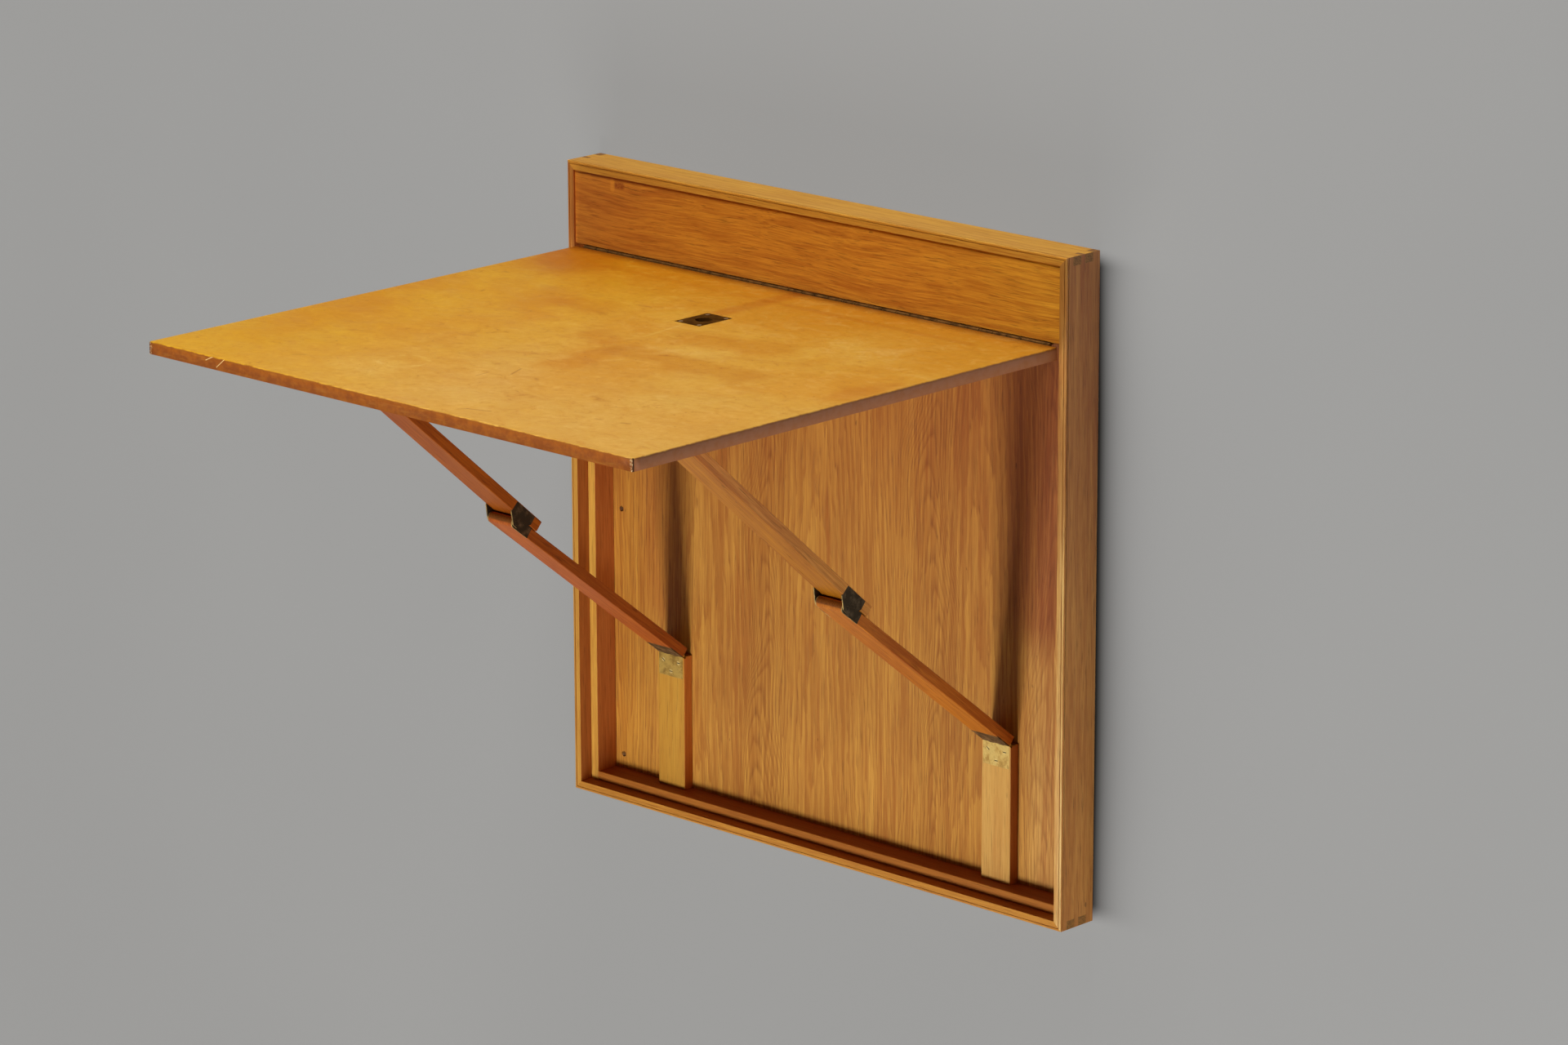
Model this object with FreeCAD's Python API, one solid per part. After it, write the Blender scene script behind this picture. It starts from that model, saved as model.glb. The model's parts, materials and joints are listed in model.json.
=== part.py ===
import FreeCAD, Part
import itertools
import math
import os

# Fold-down wall desk: a shallow oak frame on the wall, a leather-covered leaf on a piano hinge,
# and two knuckle-jointed struts. Millimetres; X to the right, Y into the wall, Z up.
# The origin is the centre of the four wall-screw holes, on the wall's face.

# Frame
FRAME_WIDTH = 750.0
FRAME_HEIGHT = 748.0
RAIL_THICKNESS = 10.0
CORNER_MITRE = 10.0
RAIL_FINGER = 13.0
STILE_FINGER = 6.0
QUIRK_INSET = 2.6
QUIRK_WIDTH = 1.0
QUIRK_DEPTH = 0.8
BEAD_RADIUS = 1.2
PANEL_THICKNESS = 5.5
BATTEN_WIDTH = 11.0
FASCIA_SETBACK = 2.5
EDGE_EASE = 0.6

# Wall screws through the back panel
HOLE_INSET = 12.5
HOLE_SPACING_Z = 297.0
LOW_HOLE_HEIGHT = 37.5
HOLE_RADIUS = 3.25

# Fascia and leaf, measured with the desk open
FASCIA_HEIGHT = 86.65
LEAF_THICKNESS = 14.0
LEATHER_THICKNESS = 2.0
LEATHER_ROUND = 2.5
LEAF_SIDE_GAP = 2.0
LEAF_END_GAP = 3.0
LEAF_STOP_GAP = 0.5

# Piano hinge
PIANO_PLATE = 1.2
PIANO_PLATE_GAP = 0.15
PIANO_PLATE_WIDTH = 12.0
PIANO_BARREL_RADIUS = 2.2
PIANO_END_INSET = 12.0
PIANO_KNUCKLES = 35
KNUCKLE_AXIAL_GAP = 0.3
PIANO_ROOM = 1.0
PIANO_SWING_GAP = 0.35
LEAF_EDGE_BEVEL_DEG = 10.5

# Struts: a post, a lower arm and an upper arm each
STRUT_INSET = 115.0
STRUT_WIDTH = 42.0
STRUT_REACH = 474.0
FOOT_HEIGHT = 181.0
ARM_THICKNESS = 12.5
ARM_PANEL_GAP = 0.75
ARM_CROSS_GAP = 1.85
ARM_END_GAP = 0.4
ARM_TOP_OVERHANG = 1.5
LINK_SAG_DEG = 5.9
TAIL_STOP_GAP = 0.15
SOLVE_STEPS = 60

# Butt hinges at the posts and under the leaf
BUTT_SIDE_MARGIN = 0.4
BUTT_LENGTH = 27.0
BUTT_PLATE = 1.3
BUTT_PLATE_GAP = 0.8
BUTT_KNUCKLES = 5
BARREL_RADIUS = 1.9
BUTT_PIN_RADIUS = 0.9
BARREL_ROOM = 0.4

# Knuckle plates
KNUCKLE_PLATE = 1.3
KNUCKLE_SIDE_GAP = 0.3
KNUCKLE_PIN_RADIUS = 2.5
CHEEK_LENGTH = 26.0
EAR_TOP_MARGIN = 0.7
EAR_FORE = 15.0
EAR_AFT = 20.0
EAR_SHOULDER = 1.3
EAR_TIP_HALF_WIDTH = 3.6
EAR_TIP_DROP = 4.2

# Flush finger plate in the leaf
FLUSH_WIDTH = 37.5
FLUSH_LENGTH = 51.5
FLUSH_PLATE = 1.5
FLUSH_FROM_HINGE = 166.0
CUP_RADIUS = 9.0
CUP_WALL = 1.2
CUP_DEPTH = 8.0
FLUSH_SCREW_INSET = 5.0

# Heads of the wood screws, let into the plates
SCREW_HEAD_RADIUS = 2.5
SCREW_HEAD_HEIGHT = 1.1
SLOT_WIDTH = 1.0
SLOT_DEPTH = 0.6
SLOT_TURN_DEG = 36.0
BUTT_SCREW_SPREAD = 12.0
BUTT_SCREW_NEAR = 9.0
BUTT_SCREW_FAR = 21.0

# Fits, on the radius
PRESS_FIT = 0.02
RUNNING_FIT = 0.05

# The shut stack, from the wall to the frame's front
LEAF_PIN_DROP = BUTT_PLATE + BUTT_PLATE_GAP / 2
ARM_STACK = ARM_PANEL_GAP + 2 * ARM_THICKNESS + ARM_CROSS_GAP
LEAF_STACK = 2 * BUTT_PLATE + BUTT_PLATE_GAP + LEAF_THICKNESS
FRAME_DEPTH = PANEL_THICKNESS + ARM_STACK + LEAF_STACK + FASCIA_SETBACK

# Widths and places that follow
LOWER_ARM_WIDTH = STRUT_WIDTH - 2 * (KNUCKLE_PLATE + KNUCKLE_SIDE_GAP)
BUTT_WIDTH = LOWER_ARM_WIDTH - 2 * BUTT_SIDE_MARGIN
Z_BOTTOM = -(LOW_HOLE_HEIGHT + HOLE_SPACING_Z / 2)
Z_TOP = Z_BOTTOM + FRAME_HEIGHT
Z_LOW_IN = Z_BOTTOM + RAIL_THICKNESS
Z_HIGH_IN = Z_TOP - RAIL_THICKNESS
X_OUT = FRAME_WIDTH / 2
X_IN = X_OUT - RAIL_THICKNESS
X_HOLE = X_IN - BATTEN_WIDTH - HOLE_INSET
X_STRUT = X_IN - STRUT_INSET
Y_FRONT = -FRAME_DEPTH
Y_PANEL = -PANEL_THICKNESS

FASCIA_BOTTOM = Z_HIGH_IN - FASCIA_HEIGHT
HINGE_Y = Y_FRONT + FASCIA_SETBACK
HINGE_Z = FASCIA_BOTTOM - PIANO_PLATE - PIANO_PLATE_GAP
LEAF_EDGE_GAP = PIANO_BARREL_RADIUS + PIANO_SWING_GAP + PIANO_PLATE
LEAF_HALF_WIDTH = X_IN - LEAF_SIDE_GAP
LEAF_LENGTH = HINGE_Z - Z_LOW_IN - LEAF_END_GAP
LEAF_FRONT = HINGE_Y - LEAF_LENGTH
LEAF_BACK = HINGE_Y - LEAF_EDGE_GAP
LEAF_UNDER = HINGE_Z - LEAF_THICKNESS
BATTEN_FRONT = HINGE_Y + LEAF_THICKNESS + LEAF_STOP_GAP

ARM_BACK = Y_PANEL - ARM_PANEL_GAP
ARM_FRONT = ARM_BACK - ARM_THICKNESS
FOOT_Y = ARM_FRONT + BARREL_RADIUS
FOOT_Z = Z_BOTTOM + FOOT_HEIGHT
PIVOT_Y = (ARM_FRONT + ARM_BACK) / 2
UPPER_NEAR = ARM_THICKNESS / 2 + ARM_CROSS_GAP
UPPER_FAR = UPPER_NEAR + ARM_THICKNESS
LEAF_PIN_DEPTH = LEAF_THICKNESS + LEAF_PIN_DROP

X_AXIS = FreeCAD.Vector(1, 0, 0)
BACK = FreeCAD.Vector(0, 1, 0)
UP = FreeCAD.Vector(0, 0, 1)
DOWN = FreeCAD.Vector(0, 0, -1)
SIDES = {"left": -1, "right": 1}


FOOT_PIN = FreeCAD.Vector(0, FOOT_Y, FOOT_Z)
LEAF_PIN = FreeCAD.Vector(0, HINGE_Y - STRUT_REACH, HINGE_Z - LEAF_PIN_DEPTH)
SHUT_LEAF_PIN = FreeCAD.Vector(0, HINGE_Y + LEAF_PIN_DEPTH, HINGE_Z - STRUT_REACH)


def shut_pivot():
    """Knuckle pin with the desk shut, so high that the open strut sags past its straight line."""
    span = (LEAF_PIN - FOOT_PIN).Length
    sag = math.cos(math.radians(LINK_SAG_DEG))
    low, high = FOOT_Z, HINGE_Z
    for _ in range(SOLVE_STEPS):
        pivot = FreeCAD.Vector(0, PIVOT_Y, (low + high) / 2)
        lower = (pivot - FOOT_PIN).Length
        upper = (pivot - SHUT_LEAF_PIN).Length
        if math.sqrt(lower**2 + upper**2 + 2 * lower * upper * sag) < span:
            low = pivot.z
        else:
            high = pivot.z
    return pivot


SHUT_PIVOT = shut_pivot()
LOWER_LINK = (SHUT_PIVOT - FOOT_PIN).Length
UPPER_LINK = (SHUT_PIVOT - SHUT_LEAF_PIN).Length


def bearing(start, end):
    """Direction from one point to another in the Y-Z plane, in degrees from +Y towards +Z."""
    return math.degrees(math.atan2(end.z - start.z, end.y - start.y))


def open_pivot():
    """Knuckle pin with the desk open: where the two link circles cross on the lower, front side."""
    span = (LEAF_PIN - FOOT_PIN).Length
    corner = (LOWER_LINK**2 + span**2 - UPPER_LINK**2) / (2 * LOWER_LINK * span)
    angle = math.radians(bearing(FOOT_PIN, LEAF_PIN)) + math.acos(corner)
    return FOOT_PIN + FreeCAD.Vector(0, math.cos(angle), math.sin(angle)) * LOWER_LINK


OPEN_PIVOT = open_pivot()
LOWER_TILT = bearing(FOOT_PIN, OPEN_PIVOT) - bearing(FOOT_PIN, SHUT_PIVOT)
UPPER_TURN = (bearing(OPEN_PIVOT, LEAF_PIN) - bearing(SHUT_PIVOT, SHUT_LEAF_PIN)) % 360 - 360
ARM_BEND = LOWER_TILT - UPPER_TURN - 180
ARM_TAIL = (ARM_CROSS_GAP - TAIL_STOP_GAP) / math.tan(math.radians(ARM_BEND))


def block(x0, x1, y0, y1, z0, z1):
    """A box between two corners given in any order."""
    x0, x1 = sorted((x0, x1))
    y0, y1 = sorted((y0, y1))
    z0, z1 = sorted((z0, z1))
    return Part.makeBox(x1 - x0, y1 - y0, z1 - z0, FreeCAD.Vector(x0, y0, z0))


def eased(solid):
    """The solid with all its sharp edges taken off."""
    return solid.makeChamfer(EDGE_EASE, solid.Edges)


def rod(x0, x1, y, z, radius):
    """A cylinder along X."""
    return Part.makeCylinder(radius, x1 - x0, FreeCAD.Vector(x0, y, z), X_AXIS)


def prism(points, normal, length):
    """A straight prism on a polygon of points."""
    face = Part.Face(Part.makePolygon(points + points[:1]))
    return face.extrude(normal * length)


def joined(solids):
    """One solid from touching solids."""
    return solids[0].fuse(solids[1:]).removeSplitter()


def group(solids):
    """Separate solids kept together in one node."""
    return Part.makeCompound(solids)


def corner_fingers(side, end, takes_rail):
    """The fingers and front mitre of one frame corner that belong to the rail, or to the stile."""
    z_in, z_out = (Z_LOW_IN, Z_BOTTOM) if end < 0 else (Z_HIGH_IN, Z_TOP)
    depths = (Y_FRONT, CORNER_MITRE, RAIL_FINGER, STILE_FINGER, RAIL_FINGER)
    edges = list(itertools.accumulate(depths)) + [0.0]
    spans = list(zip(edges[1:], edges[2:]))[0 if takes_rail else 1::2]
    solids = [block(side * X_IN, side * X_OUT, y0, y1, z_in, z_out) for y0, y1 in spans]
    inner = FreeCAD.Vector(side * X_IN, Y_FRONT, z_in)
    outer = FreeCAD.Vector(side * X_OUT, Y_FRONT, z_out)
    third_x, third_z = (inner.x, outer.z) if takes_rail else (outer.x, inner.z)
    third = FreeCAD.Vector(third_x, Y_FRONT, third_z)
    solids.append(prism([inner, outer, third], BACK, CORNER_MITRE))
    return solids


def frame_slab(inset, y0, depth):
    """A slab of the frame's outline, drawn in all round, that starts at a place behind the front."""
    x = X_OUT - inset
    return block(-x, x, Y_FRONT + y0, Y_FRONT + y0 + depth, Z_BOTTOM + inset, Z_TOP - inset)


def bead_cuts():
    """What leaves a round bead on the frame's outer front edge: two fine grooves and the sharp corner."""
    quirk_end = QUIRK_INSET + QUIRK_WIDTH
    front = frame_slab(QUIRK_INSET, 0, QUIRK_DEPTH).cut(frame_slab(quirk_end, 0, QUIRK_DEPTH))
    outer = frame_slab(0, QUIRK_INSET, QUIRK_WIDTH).cut(frame_slab(QUIRK_DEPTH, QUIRK_INSET, QUIRK_WIDTH))
    square = frame_slab(0, 0, QUIRK_INSET)
    arris = [edge for edge in square.Edges if edge.BoundBox.YMax < Y_FRONT + QUIRK_INSET / 2]
    return [front, outer, square.cut(square.makeFillet(BEAD_RADIUS, arris))]


def stile(side):
    body = block(side * X_IN, side * X_OUT, Y_FRONT, 0, Z_LOW_IN, Z_HIGH_IN)
    fingers = corner_fingers(side, -1, False) + corner_fingers(side, 1, False)
    return joined([body] + fingers).cut(bead_cuts())


def rail(end):
    z_in, z_out = (Z_LOW_IN, Z_BOTTOM) if end < 0 else (Z_HIGH_IN, Z_TOP)
    body = block(-X_IN, X_IN, Y_FRONT, 0, z_in, z_out)
    fingers = corner_fingers(-1, end, True) + corner_fingers(1, end, True)
    return joined([body] + fingers).cut(bead_cuts())


def back_panel():
    panel = block(-X_IN, X_IN, Y_PANEL, 0, Z_LOW_IN, Z_HIGH_IN)
    places = [FreeCAD.Vector(x * X_HOLE, Y_PANEL, z * HOLE_SPACING_Z / 2) for x in (-1, 1) for z in (-1, 1)]
    return panel.cut([Part.makeCylinder(HOLE_RADIUS, PANEL_THICKNESS, place, BACK) for place in places])


def side_batten(side):
    inner = X_IN - BATTEN_WIDTH
    return eased(block(side * X_IN, side * inner, BATTEN_FRONT, Y_PANEL, Z_LOW_IN, Z_HIGH_IN))


def bottom_batten():
    half = X_IN - BATTEN_WIDTH
    return eased(block(-half, half, BATTEN_FRONT, Y_PANEL, Z_LOW_IN, Z_LOW_IN + BATTEN_WIDTH))


def fascia():
    board = block(-X_IN, X_IN, HINGE_Y, BATTEN_FRONT, FASCIA_BOTTOM, Z_HIGH_IN)
    channel = rod(-X_IN, X_IN, HINGE_Y, HINGE_Z, PIANO_BARREL_RADIUS + PIANO_ROOM)
    return board.cut(channel)


def leaf_edge(down, out):
    """A point on the leaf's bevelled hinge edge, down from its top and out towards the fascia."""
    back = LEAF_BACK - down * math.tan(math.radians(LEAF_EDGE_BEVEL_DEG))
    return FreeCAD.Vector(0, back + out, HINGE_Z - down)


def piano_knuckles(half, first):
    """X ranges of every second knuckle along the piano hinge, counted from its first or second."""
    pitch = 2 * half / PIANO_KNUCKLES
    return [(index * pitch - half, (index + 1) * pitch - half) for index in range(first, PIANO_KNUCKLES, 2)]


def piano_hinge_fixed_leaf():
    """The strip under the fascia, notched where the other strip's knuckles turn."""
    half = LEAF_HALF_WIDTH - PIANO_END_INSET
    room = PIANO_BARREL_RADIUS + PIANO_ROOM
    y1, z0 = HINGE_Y + PIANO_PLATE_WIDTH, FASCIA_BOTTOM - PIANO_PLATE
    plate = block(-half, half, HINGE_Y, y1, z0, FASCIA_BOTTOM)
    notched, barrelled = piano_knuckles(half, 1), piano_knuckles(half, 0)
    notches = [block(x0, x1, HINGE_Y, HINGE_Y + room, z0, FASCIA_BOTTOM) for x0, x1 in notched]
    return joined([plate.cut(notches)] + [piano_barrel(x0, x1) for x0, x1 in barrelled])


def piano_barrel(x0, x1):
    return rod(x0 + KNUCKLE_AXIAL_GAP, x1 - KNUCKLE_AXIAL_GAP, HINGE_Y, HINGE_Z, PIANO_BARREL_RADIUS)


def piano_web(x0, x1):
    """The tongue from the leaf's strip to one of its knuckles."""
    x0 += KNUCKLE_AXIAL_GAP
    x1 -= KNUCKLE_AXIAL_GAP
    return block(x0, x1, LEAF_BACK + PIANO_PLATE / 2, HINGE_Y, HINGE_Z - PIANO_BARREL_RADIUS, HINGE_Z)


def piano_hinge_moving_leaf():
    """The strip on the leaf's bevelled edge, with its knuckles in the open pose."""
    half = LEAF_HALF_WIDTH - PIANO_END_INSET
    corners = [(0, 0), (0, PIANO_PLATE), (PIANO_PLATE_WIDTH, PIANO_PLATE), (PIANO_PLATE_WIDTH, 0)]
    plate = prism([leaf_edge(down, out) - X_AXIS * half for down, out in corners], X_AXIS, 2 * half)
    spans = piano_knuckles(half, 1)
    barrels = [piano_barrel(x0, x1) for x0, x1 in spans]
    return joined([plate] + barrels + [piano_web(x0, x1) for x0, x1 in spans])


def screw(head, inward, slot_along, clearance=0.0):
    """A slotted screw head flush at a point; with a clearance it is the recess for one."""
    radius, height = SCREW_HEAD_RADIUS + clearance, SCREW_HEAD_HEIGHT + clearance
    solid = Part.makeCylinder(radius, height, head, inward)
    if clearance:
        return solid
    across = inward.cross(slot_along) * SLOT_WIDTH
    along = slot_along * (2 * SCREW_HEAD_RADIUS)
    corner = head - (along + across) / 2
    slot = prism([corner, corner + along, corner + along + across, corner + across], inward, SLOT_DEPTH)
    return solid.cut(slot)


def butt_screws(x, y, z, along, inward, clearance=0.0):
    """The three screws of a butt-hinge plate: two near its pin, one further out on its centre line."""
    near = FreeCAD.Vector(x, y, z) + along * BUTT_SCREW_NEAR
    far = FreeCAD.Vector(x, y, z) + along * BUTT_SCREW_FAR
    places = [near - X_AXIS * BUTT_SCREW_SPREAD, near + X_AXIS * BUTT_SCREW_SPREAD, far]
    turn = math.radians(SLOT_TURN_DEG)
    slots = [X_AXIS * math.cos(turn) + along * math.sin(turn), X_AXIS, X_AXIS]
    return [screw(place, inward, slot, clearance) for place, slot in zip(places, slots)]


def butt_plate(x, plate, pin_y, pin_z, outer_knuckles, fit):
    """A butt-hinge plate with its share of the knuckles, and room for the other plate's."""
    left = x - BUTT_WIDTH / 2
    pitch = BUTT_WIDTH / BUTT_KNUCKLES
    barrels, notches = [], []
    for index in range(BUTT_KNUCKLES):
        x0 = left + index * pitch
        gap = KNUCKLE_AXIAL_GAP / 2
        if (index % 2 == 0) == outer_knuckles:
            barrels.append(rod(x0 + gap, x0 + pitch - gap, pin_y, pin_z, BARREL_RADIUS))
        else:
            notches.append(rod(x0 - gap, x0 + pitch + gap, pin_y, pin_z, BARREL_RADIUS + BARREL_ROOM))
    solid = joined([plate.cut(notches)] + barrels)
    bore = rod(left, left + BUTT_WIDTH, pin_y, pin_z, BUTT_PIN_RADIUS + fit)
    return solid.cut(bore)


def post_recess(x):
    half = BUTT_WIDTH / 2
    return block(x - half, x + half, ARM_FRONT, ARM_FRONT + BUTT_PLATE, FOOT_Z - BUTT_LENGTH, FOOT_Z)


def barrel_room(x, half_width, y, z):
    return rod(x - half_width, x + half_width, y, z, BARREL_RADIUS + BARREL_ROOM)


def post(x):
    half = STRUT_WIDTH / 2
    z0, z1 = Z_LOW_IN + BATTEN_WIDTH, FOOT_Z - ARM_END_GAP
    body = eased(block(x - half, x + half, ARM_FRONT, Y_PANEL, z0, z1))
    return body.cut([post_recess(x), barrel_room(x, half, FOOT_Y, FOOT_Z)])


def post_plate(x):
    plate = butt_plate(x, post_recess(x), FOOT_Y, FOOT_Z, True, PRESS_FIT)
    return plate.cut(butt_screws(x, ARM_FRONT, FOOT_Z, DOWN, BACK, PRESS_FIT))


def foot_plate_shut(x):
    half = BUTT_WIDTH / 2
    blank = block(x - half, x + half, ARM_FRONT, ARM_FRONT + BUTT_PLATE, FOOT_Z, FOOT_Z + BUTT_LENGTH)
    plate = butt_plate(x, blank, FOOT_Y, FOOT_Z, False, RUNNING_FIT)
    return plate.cut(butt_screws(x, ARM_FRONT, FOOT_Z, UP, BACK, PRESS_FIT))


def butt_pin(x, y, z):
    return rod(x - BUTT_WIDTH / 2, x + BUTT_WIDTH / 2, y, z, BUTT_PIN_RADIUS)


def cheek_blank(x0, x1):
    """The knuckle end of the lower arm between two X places: a bar with a round end on the pin."""
    z = SHUT_PIVOT.z
    bar = block(x0, x1, ARM_FRONT, ARM_BACK, z - CHEEK_LENGTH, z)
    x0, x1 = sorted((x0, x1))
    return joined([bar, rod(x0, x1, PIVOT_Y, z, ARM_THICKNESS / 2)])


def knuckle_bore(x, fit):
    half = STRUT_WIDTH / 2
    return rod(x - half, x + half, PIVOT_Y, SHUT_PIVOT.z, KNUCKLE_PIN_RADIUS + fit)


def cheeks_shut(x):
    """The two plates let into the lower arm's sides at the knuckle."""
    outer = LOWER_ARM_WIDTH / 2
    inner = outer - KNUCKLE_PLATE
    return [cheek_blank(x + s * inner, x + s * outer).cut(knuckle_bore(x, PRESS_FIT)) for s in (-1, 1)]


def lower_arm_shut(x):
    half = LOWER_ARM_WIDTH / 2
    top = SHUT_PIVOT.z + ARM_THICKNESS / 2
    bar = eased(block(x - half, x + half, ARM_FRONT, ARM_BACK, FOOT_Z + ARM_END_GAP, top))
    round_end = block(x - half, x + half, ARM_FRONT, ARM_BACK, SHUT_PIVOT.z, top)
    round_end = round_end.cut(rod(x - half, x + half, PIVOT_Y, SHUT_PIVOT.z, ARM_THICKNESS / 2))
    recess = block(x - half, x + half, ARM_FRONT, ARM_FRONT + BUTT_PLATE, FOOT_Z, FOOT_Z + BUTT_LENGTH)
    sides = [cheek_blank(x + s * half, x + s * (half - KNUCKLE_PLATE)) for s in (-1, 1)]
    room = barrel_room(x, half, FOOT_Y, FOOT_Z)
    return bar.cut([round_end, recess, room, knuckle_bore(x, PRESS_FIT)] + sides)


def ear_blank(x0, x1):
    """A knuckle ear: let into the upper arm's side, with a blunt point round the pin."""
    x0, x1 = sorted((x0, x1))
    outline = [
        (-EAR_FORE, UPPER_FAR - EAR_TOP_MARGIN),
        (EAR_AFT, UPPER_FAR - EAR_TOP_MARGIN),
        (EAR_AFT, UPPER_NEAR + EAR_SHOULDER),
        (EAR_TIP_HALF_WIDTH, -EAR_TIP_DROP),
        (-EAR_TIP_HALF_WIDTH, -EAR_TIP_DROP),
        (-EAR_FORE - EAR_SHOULDER, UPPER_NEAR - EAR_SHOULDER),
    ]
    points = [FreeCAD.Vector(x0, PIVOT_Y - out, SHUT_PIVOT.z + along) for along, out in outline]
    return prism(points, X_AXIS, x1 - x0)


def ears_shut(x):
    outer = STRUT_WIDTH / 2
    inner = outer - KNUCKLE_PLATE
    return [ear_blank(x + s * inner, x + s * outer).cut(knuckle_bore(x, RUNNING_FIT)) for s in (-1, 1)]


def leaf_arm_screws_shut(x, clearance=0.0):
    face = PIVOT_Y - UPPER_FAR - BUTT_PLATE
    return butt_screws(x, face, SHUT_LEAF_PIN.z, UP, BACK, clearance)


def upper_arm_shut(x):
    half = STRUT_WIDTH / 2
    y0, y1 = PIVOT_Y - UPPER_FAR, PIVOT_Y - UPPER_NEAR
    z0, z1 = SHUT_LEAF_PIN.z - ARM_TOP_OVERHANG, SHUT_PIVOT.z + ARM_TAIL
    bar = eased(block(x - half, x + half, y0, y1, z0, z1))
    sides = [ear_blank(x + s * half, x + s * (half - KNUCKLE_PLATE)) for s in (-1, 1)]
    room = barrel_room(x, half, SHUT_LEAF_PIN.y, SHUT_LEAF_PIN.z)
    return bar.cut(sides + [room])


def leaf_arm_plate_shut(x):
    half = BUTT_WIDTH / 2
    y0 = PIVOT_Y - UPPER_FAR
    blank = block(x - half, x + half, y0 - BUTT_PLATE, y0, SHUT_LEAF_PIN.z, SHUT_LEAF_PIN.z + BUTT_LENGTH)
    plate = butt_plate(x, blank, SHUT_LEAF_PIN.y, SHUT_LEAF_PIN.z, False, RUNNING_FIT)
    return plate.cut(leaf_arm_screws_shut(x, PRESS_FIT))


def leaf_plate_screws(x, clearance=0.0):
    return butt_screws(x, LEAF_PIN.y, LEAF_UNDER - BUTT_PLATE, BACK, UP, clearance)


def leaf_plate(x):
    half = BUTT_WIDTH / 2
    y0, y1 = LEAF_PIN.y, LEAF_PIN.y + BUTT_LENGTH
    blank = block(x - half, x + half, y0, y1, LEAF_UNDER - BUTT_PLATE, LEAF_UNDER)
    plate = butt_plate(x, blank, LEAF_PIN.y, LEAF_PIN.z, True, PRESS_FIT)
    return plate.cut(leaf_plate_screws(x, PRESS_FIT))


def opened_lower(solid):
    """A lower-arm piece turned from its shut place about the foot pin."""
    return solid.rotated(FOOT_PIN, X_AXIS, LOWER_TILT)


def opened_upper(solid):
    """An upper-arm piece turned about the knuckle pin and carried with it."""
    return solid.rotated(SHUT_PIVOT, X_AXIS, UPPER_TURN).translated(OPEN_PIVOT - SHUT_PIVOT)


def flush_centre():
    return FreeCAD.Vector(0, HINGE_Y - FLUSH_FROM_HINGE, HINGE_Z)


def flush_blank():
    """The flush plate with the outside of its finger cup, before the cup is hollowed."""
    c = flush_centre()
    half_x, half_y = FLUSH_WIDTH / 2, FLUSH_LENGTH / 2
    plate = block(-half_x, half_x, c.y - half_y, c.y + half_y, c.z - FLUSH_PLATE, c.z)
    cup = Part.makeCylinder(CUP_RADIUS + CUP_WALL, CUP_DEPTH + CUP_WALL, c, DOWN)
    return joined([plate, cup])


def flush_screws(clearance=0.0):
    c = flush_centre()
    across = FLUSH_WIDTH / 2 - FLUSH_SCREW_INSET
    along = FLUSH_LENGTH / 2 - FLUSH_SCREW_INSET
    places = [FreeCAD.Vector(x * across, c.y + y * along, c.z) for x in (-1, 1) for y in (-1, 1)]
    return [screw(place, DOWN, X_AXIS, clearance) for place in places]


def flush_plate():
    cup = Part.makeCylinder(CUP_RADIUS, CUP_DEPTH, flush_centre(), DOWN)
    return flush_blank().cut([cup] + flush_screws(PRESS_FIT))


def hinge_bevel():
    """The wedge off the leaf's hinge edge that lets it swing in under the fascia."""
    points = [leaf_edge(0, 0), leaf_edge(LEAF_THICKNESS, 0), leaf_edge(0, 0) + DOWN * LEAF_THICKNESS]
    return prism([p - X_AXIS * X_OUT for p in points], X_AXIS, 2 * X_OUT)


def leaf_cuts():
    """Everything that is let into the leaf."""
    rooms = [barrel_room(side * X_STRUT, STRUT_WIDTH / 2, LEAF_PIN.y, LEAF_PIN.z) for side in SIDES.values()]
    return [flush_blank(), hinge_bevel()] + rooms


def core_blank():
    half = LEAF_HALF_WIDTH - LEATHER_THICKNESS
    front, top = LEAF_FRONT + LEATHER_THICKNESS, HINGE_Z - LEATHER_THICKNESS
    return block(-half, half, front, LEAF_BACK, LEAF_UNDER, top)


def leaf_core():
    return core_blank().cut(leaf_cuts())


def leather_cover():
    """The hide over the leaf's top, front and sides, open below and at the hinge."""
    half = LEAF_HALF_WIDTH
    blank = block(-half, half, LEAF_FRONT, LEAF_BACK, LEAF_UNDER, HINGE_Z)
    upper = [edge for edge in blank.Edges if edge.CenterOfMass.z > HINGE_Z - LEATHER_THICKNESS]
    wrapped = [edge for edge in upper if edge.CenterOfMass.y < LEAF_BACK - LEATHER_THICKNESS]
    return blank.makeFillet(LEATHER_ROUND, wrapped).cut([core_blank()] + leaf_cuts())


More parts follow.
